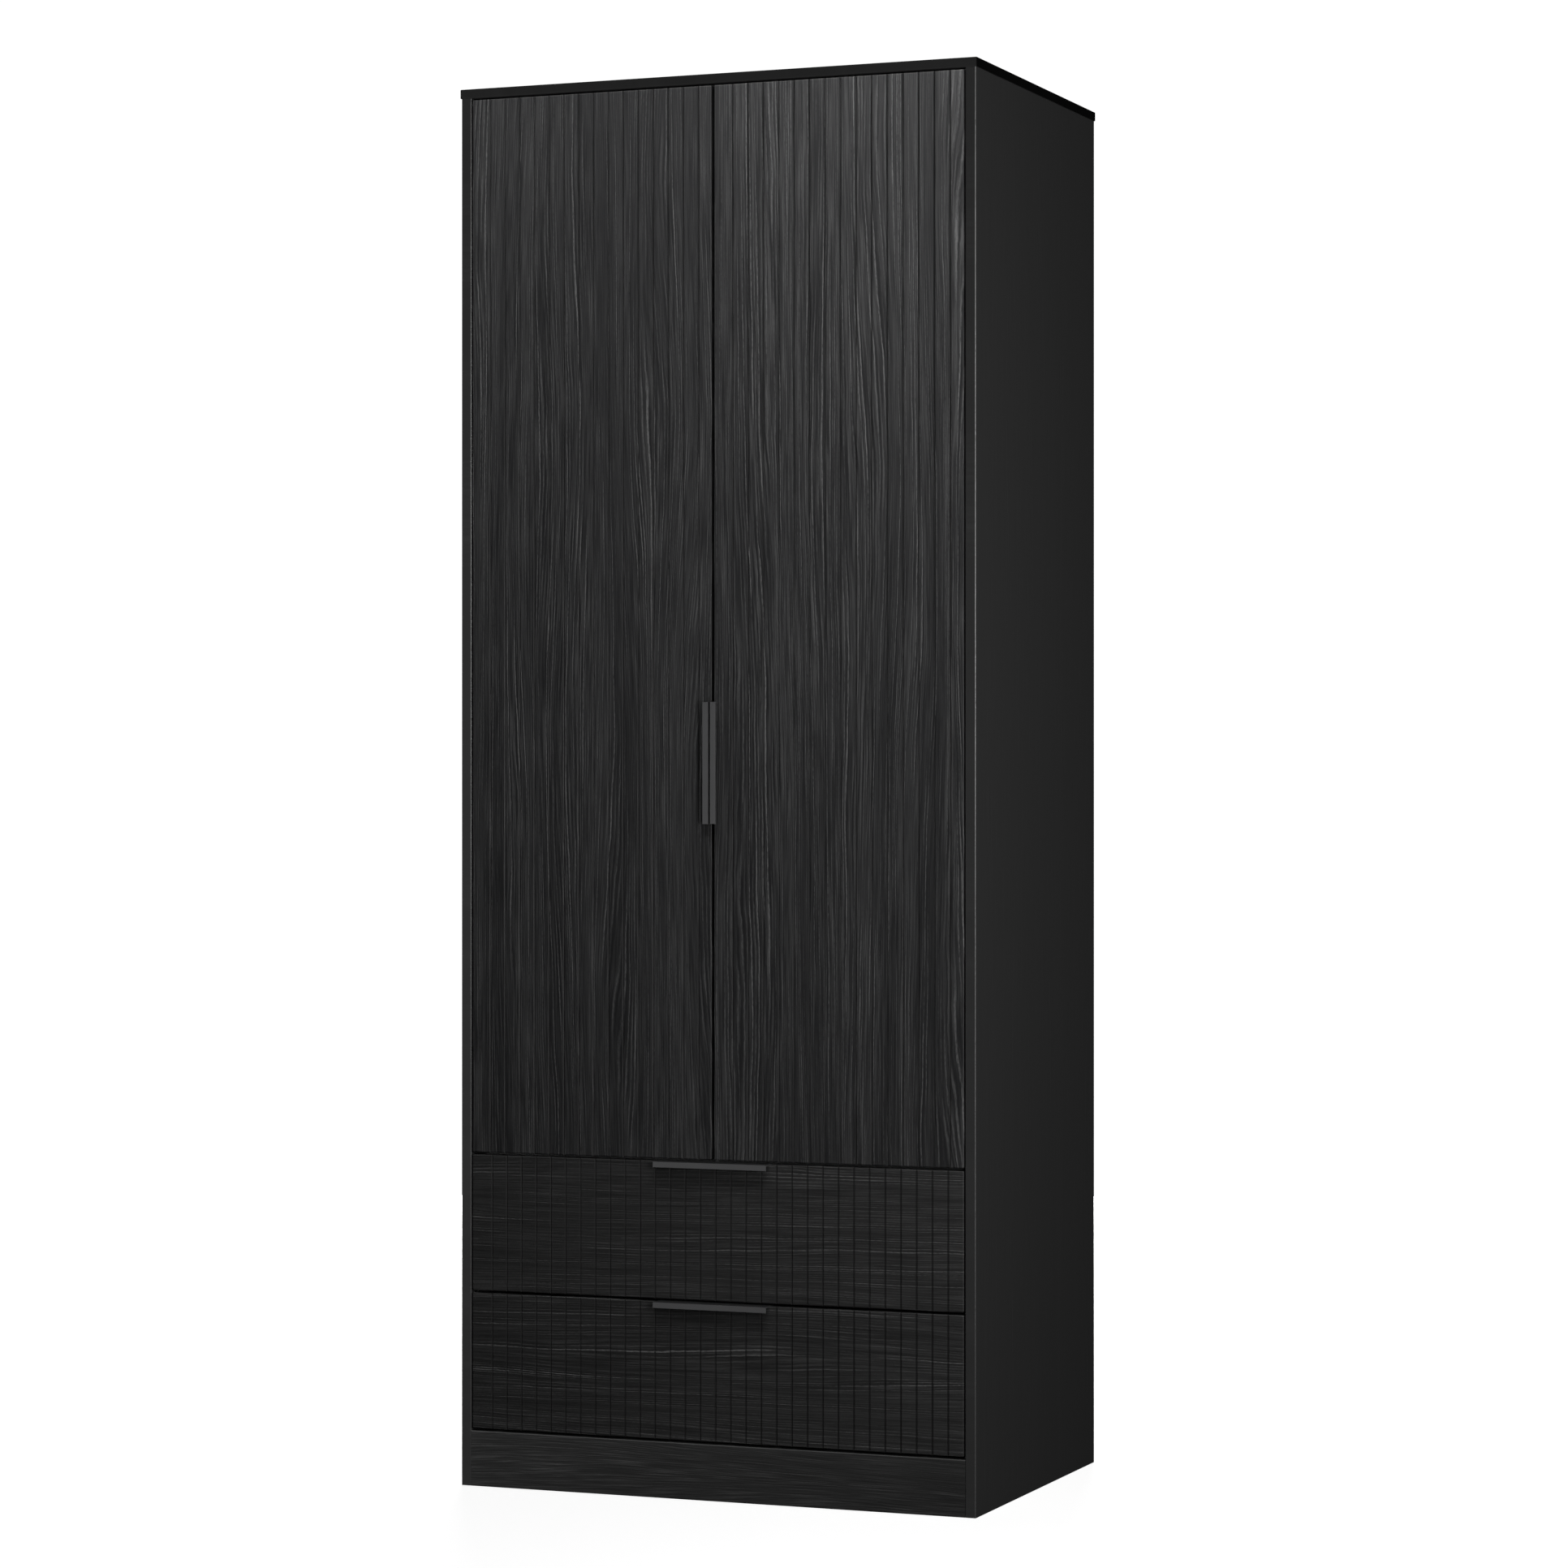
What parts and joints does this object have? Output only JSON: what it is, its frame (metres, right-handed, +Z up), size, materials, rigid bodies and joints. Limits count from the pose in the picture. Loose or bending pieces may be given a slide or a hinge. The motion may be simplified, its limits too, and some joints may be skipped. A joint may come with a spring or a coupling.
{
  "type": "wardrobe with doors",
  "caption": "Tall free-standing wardrobe with vertically fluted hinged doors over full-width drawers, set in between side panels, with edge pulls.",
  "frame": {"origin": "on the floor, at the middle of the overall width and of the overall depth from the pull lips to the back edge of the top panel", "axes": "+Z up, -Y the front with the doors and drawers, +X to the right when facing the front"},
  "size_m": [0.7714, 0.5428, 1.97],
  "materials": {
    "carcass_foil": "black wood-grain foil on particle board, satin",
    "front_foil": "black wood-grain foil on fluted fibreboard, satin",
    "drawer_board": "dark foil on particle board, satin",
    "hardboard": "dark painted hardboard, matt",
    "pull_metal": "anthracite powder coat, fine satin",
    "rail_chrome": "bright",
    "hinge_steel": "nickel plated",
    "runner_steel": "dark powder coat",
    "fastener_zinc": "zinc plated",
    "wheel_plastic": "moulded nylon",
    "fitting_plastic": "moulded, matt",
    "bumper_rubber": "soft, matt",
    "dowel_beech": "fluted beech, bare"
  },
  "bodies": {
    "carcass": {"left_side_panel": "carcass_foil", "right_side_panel": "carcass_foil", "top_panel": "carcass_foil", "bottom_panel": "carcass_foil", "divider_shelf": "carcass_foil", "hat_shelf": "carcass_foil", "plinth": "carcass_foil", "rear_plinth": "carcass_foil", "top_rail": "carcass_foil", "upper_back_panel": "hardboard", "lower_back_panel": "hardboard", "back_joint_strip": "fitting_plastic", "back_nails": "fastener_zinc", "cam_bolts": "fastener_zinc", "cam_locks": "fastener_zinc", "carcass_screws": "fastener_zinc", "dowels": "dowel_beech", "bumpers": "bumper_rubber", "shelf_pins": "fastener_zinc", "hanging_rail": "rail_chrome", "rail_sockets": "fitting_plastic", "left_runner_channels": "runner_steel", "right_runner_channels": "runner_steel", "left_hinge_plates": "hinge_steel", "left_hinge_arms": "hinge_steel", "right_hinge_plates": "hinge_steel", "right_hinge_arms": "hinge_steel"},
    "left_door": {"left_door": "front_foil", "left_door_pull": "pull_metal", "left_door_screws": "fastener_zinc", "left_hinge_cups": "hinge_steel"},
    "right_door": {"right_door": "front_foil", "right_door_pull": "pull_metal", "right_door_screws": "fastener_zinc", "right_hinge_cups": "hinge_steel"},
    "upper_drawer": {"upper_drawer_front": "front_foil", "upper_drawer_left_side": "drawer_board", "upper_drawer_right_side": "drawer_board", "upper_drawer_back": "drawer_board", "upper_drawer_base": "hardboard", "upper_drawer_pull": "pull_metal", "upper_drawer_rails": "runner_steel", "upper_drawer_screws": "fastener_zinc"},
    "upper_front_wheels": {"upper_front_wheels": "wheel_plastic"},
    "upper_rear_wheels": {"upper_rear_wheels": "wheel_plastic"},
    "lower_drawer": {"lower_drawer_front": "front_foil", "lower_drawer_left_side": "drawer_board", "lower_drawer_right_side": "drawer_board", "lower_drawer_back": "drawer_board", "lower_drawer_base": "hardboard", "lower_drawer_pull": "pull_metal", "lower_drawer_rails": "runner_steel", "lower_drawer_screws": "fastener_zinc"},
    "lower_front_wheels": {"lower_front_wheels": "wheel_plastic"},
    "lower_rear_wheels": {"lower_rear_wheels": "wheel_plastic"}
  },
  "joints": [
    {"name": "left_door_swing", "type": "hinge", "parent": "carcass", "child": "left_door", "pos_m": [-0.3682, -0.2579, 1.21265], "axis": [0, 0, -1], "range_deg": [0, 100]},
    {"name": "right_door_swing", "type": "hinge", "parent": "carcass", "child": "right_door", "pos_m": [0.3682, -0.2579, 1.21265], "axis": [0, 0, 1], "range_deg": [0, 100]},
    {"name": "upper_drawer_slide", "type": "slide", "parent": "carcass", "child": "upper_drawer", "axis": [0, -1, 0], "range_m": [0, 0.38]},
    {"name": "upper_front_wheels_spin", "type": "hinge", "parent": "carcass", "child": "upper_front_wheels", "pos_m": [0, -0.2214, 0.28785], "axis": [1, 0, 0], "range_deg": [-5, 2000]},
    {"name": "upper_rear_wheels_spin", "type": "hinge", "parent": "upper_drawer", "child": "upper_rear_wheels", "pos_m": [0, 0.2006, 0.28385], "axis": [-1, 0, 0], "range_deg": [-2000, 5]},
    {"name": "lower_drawer_slide", "type": "slide", "parent": "carcass", "child": "lower_drawer", "axis": [0, -1, 0], "range_m": [0, 0.38]},
    {"name": "lower_front_wheels_spin", "type": "hinge", "parent": "carcass", "child": "lower_front_wheels", "pos_m": [0, -0.2214, 0.09315], "axis": [1, 0, 0], "range_deg": [-5, 2000]},
    {"name": "lower_rear_wheels_spin", "type": "hinge", "parent": "lower_drawer", "child": "lower_rear_wheels", "pos_m": [0, 0.2006, 0.08915], "axis": [-1, 0, 0], "range_deg": [-2000, 5]}
  ],
  "couplings": [
    {"joint": "upper_front_wheels_spin", "follows": "upper_drawer_slide", "rad_per_m": 89.686},
    {"joint": "upper_rear_wheels_spin", "follows": "upper_drawer_slide", "rad_per_m": -89.686},
    {"joint": "lower_front_wheels_spin", "follows": "lower_drawer_slide", "rad_per_m": 89.686},
    {"joint": "lower_rear_wheels_spin", "follows": "lower_drawer_slide", "rad_per_m": -89.686}
  ]
}
